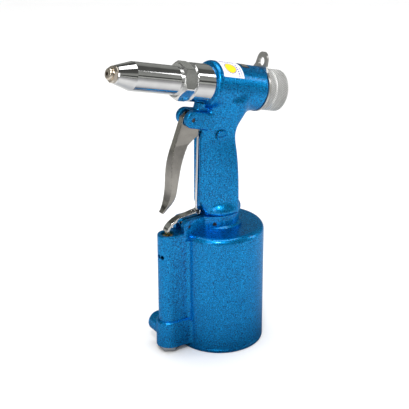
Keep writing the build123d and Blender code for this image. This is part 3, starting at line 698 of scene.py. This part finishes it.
# %% Camera
LOOK_AT = Vector((-0.01663, 0.0, 0.1405))
AZIMUTH, ELEVATION, ROLL = radians(-32.67), radians(23.69), radians(-0.15)
DISTANCE, LENS, SENSOR = 1.1343, 107.24, 36
away = Vector((sin(AZIMUTH) * cos(ELEVATION), -cos(AZIMUTH) * cos(ELEVATION), sin(ELEVATION)))
camera = bpy.data.objects.new("camera", bpy.data.cameras.new("camera"))
camera.data.lens = LENS
camera.data.sensor_width = SENSOR
camera.data.clip_start, camera.data.clip_end = 0.05, 20
camera.location = LOOK_AT + DISTANCE * away
facing = (-away).to_track_quat("-Z", "Y").to_matrix().to_4x4() @ Matrix.Rotation(ROLL, 4, "Z")
camera.rotation_euler = facing.to_euler()
bpy.context.scene.collection.objects.link(camera)
bpy.context.scene.camera = camera
print("camera at", [round(v, 3) for v in camera.location])

# %% [markdown]
# ## Studio
# Polished metal shows what stands round it, so the room matters as much for its shapes in the
# reflections as for its light.  Reflected rays see a room painted by height: pale walls with dark
# strips between them and a dim ceiling.  A slow noise bends the bands as real furniture and
# windows would.  Every other ray sees plain white, which gives soft light from all sides.

# %% Room
ROOM_BANDS = (
    (0.00, 0.30), (0.455, 0.30), (0.460, 0.02), (0.475, 0.02), (0.482, 0.50), (0.545, 0.42),
    (0.555, 0.05), (0.630, 0.07), (0.640, 0.32), (0.78, 0.24), (0.80, 0.09), (0.93, 0.06),
    (0.945, 0.34), (1.00, 0.40))


BAND_WAVE, WAVE_SCALE = 0.10, 1.6      # how far the noise bends the bands, and its scale


def make_room():
    world = bpy.data.worlds.new("studio")
    world.use_nodes = True
    tree = world.node_tree
    seen = tree.nodes["Background"]
    seen.inputs["Color"].default_value = (1, 1, 1, 1)
    seen.inputs["Strength"].default_value = 1.0
    place = tree.nodes.new("ShaderNodeTexCoord")
    noise = tree.nodes.new("ShaderNodeTexNoise")
    noise.inputs["Scale"].default_value = WAVE_SCALE
    noise.inputs["Detail"].default_value = 0.0
    apart = tree.nodes.new("ShaderNodeSeparateXYZ")
    lift = tree.nodes.new("ShaderNodeMath")
    lift.operation = "MULTIPLY_ADD"
    lift.inputs[1].default_value = BAND_WAVE
    half = tree.nodes.new("ShaderNodeMath")
    half.operation = "MULTIPLY_ADD"
    half.inputs[1].default_value = 0.5
    half.inputs[2].default_value = 0.5 - BAND_WAVE / 2
    bands = tree.nodes.new("ShaderNodeValToRGB")
    elements = bands.color_ramp.elements
    while len(elements) < len(ROOM_BANDS):
        elements.new(0.5)
    for element, (position, level) in zip(elements, ROOM_BANDS):
        element.position = position
        element.color = (0.98 * level, level, 0.93 * level, 1)
    lit = tree.nodes.new("ShaderNodeBackground")
    path = tree.nodes.new("ShaderNodeLightPath")
    chosen = tree.nodes.new("ShaderNodeMixShader")
    for source, target in (
            (place.outputs["Generated"], noise.inputs["Vector"]),
            (place.outputs["Generated"], apart.inputs[0]),
            (apart.outputs["Z"], half.inputs[0]),
            (noise.outputs["Fac"], lift.inputs[0]),
            (half.outputs[0], lift.inputs[2]),
            (lift.outputs[0], bands.inputs["Fac"]),
            (bands.outputs["Color"], lit.inputs["Color"]),
            (path.outputs["Is Glossy Ray"], chosen.inputs[0]),
            (seen.outputs[0], chosen.inputs[1]),
            (lit.outputs[0], chosen.inputs[2]),
            (chosen.outputs[0], tree.nodes["World Output"].inputs["Surface"])):
        tree.links.new(source, target)
    return world


bpy.context.scene.world = make_room()
bpy.context.scene.view_settings.view_transform = "Standard"
print("room with", len(ROOM_BANDS), "band edges")

# %% Lamps
def panel(name, place, size, watts, aim=(0, 0, 0.15)):
    """A rectangular area lamp turned towards aim."""
    lamp = bpy.data.lights.new(name, "AREA")
    lamp.shape = "RECTANGLE"
    lamp.size, lamp.size_y = size
    lamp.energy = watts
    holder = bpy.data.objects.new(name, lamp)
    holder.location = place
    holder.rotation_euler = (Vector(aim) - Vector(place)).to_track_quat("-Z", "Y").to_euler()
    bpy.context.scene.collection.objects.link(holder)


panel("key above the camera", (-0.80, -1.02, 1.68), (0.30, 0.30), 15)
panel("key left", (-1.6, -1.0, 0.9), (0.4, 1.0), 4)
panel("fill right", (1.6, -0.8, 0.8), (0.35, 1.3), 5)
panel("overhead", (0.1, 0.2, 2.0), (1.5, 1.1), 15)
print("four lamps lit")

# %% [markdown]
# ## Floor
# The floor is plain and pale.  In reflections it is painted darker close to the tool, as painted
# shade under an object, and painted darker again far off.  That keeps a dark edge on the underside
# of the plated barrel.

# %% Floor
def make_floor():
    bm = bmesh.new()
    bmesh.ops.create_grid(bm, x_segments=1, y_segments=1, size=6)
    mesh = bpy.data.meshes.new("floor")
    bm.to_mesh(mesh)
    bm.free()
    floor = bpy.data.objects.new("floor", mesh)
    bpy.context.scene.collection.objects.link(floor)
    material, shader = start_material("pale floor", (0.90, 0.90, 0.90), 0.0, 0.7)
    dust = grain(material, 40 * MM)
    link(material, spread(material, dust.outputs["Fac"], 0.66, 0.74), shader.inputs["Roughness"])
    place = add_node(material, "ShaderNodeTexCoord")
    away_from_tool = add_node(material, "ShaderNodeVectorMath", {"operation": "LENGTH"})
    link(material, place.outputs["Object"], away_from_tool.inputs[0])
    # reflected rays see painted shade: dark rings near the tool, darker again far off; camera rays
    # see the pale floor
    rings = ramp(material, away_from_tool.outputs["Value"], (
        (0.05, (0.08, 0.10, 0.12)), (0.10, (0.34, 0.35, 0.36)), (0.20, (0.50, 0.50, 0.49)),
        (0.40, (0.54, 0.54, 0.53)), (0.95, (0.28, 0.28, 0.28))))
    path = add_node(material, "ShaderNodeLightPath")
    ground = add_node(material, "ShaderNodeMix", {"data_type": "RGBA"})
    link(material, path.outputs["Is Glossy Ray"], ground.inputs["Factor"])
    ground.inputs[MIX_A].default_value = (0.80, 0.80, 0.80, 1)
    link(material, rings, ground.inputs[MIX_B])
    link(material, ground.outputs[MIX_RESULT], shader.inputs["Base Color"])
    mesh.materials.append(material)
    return floor


print("floor", make_floor().name)
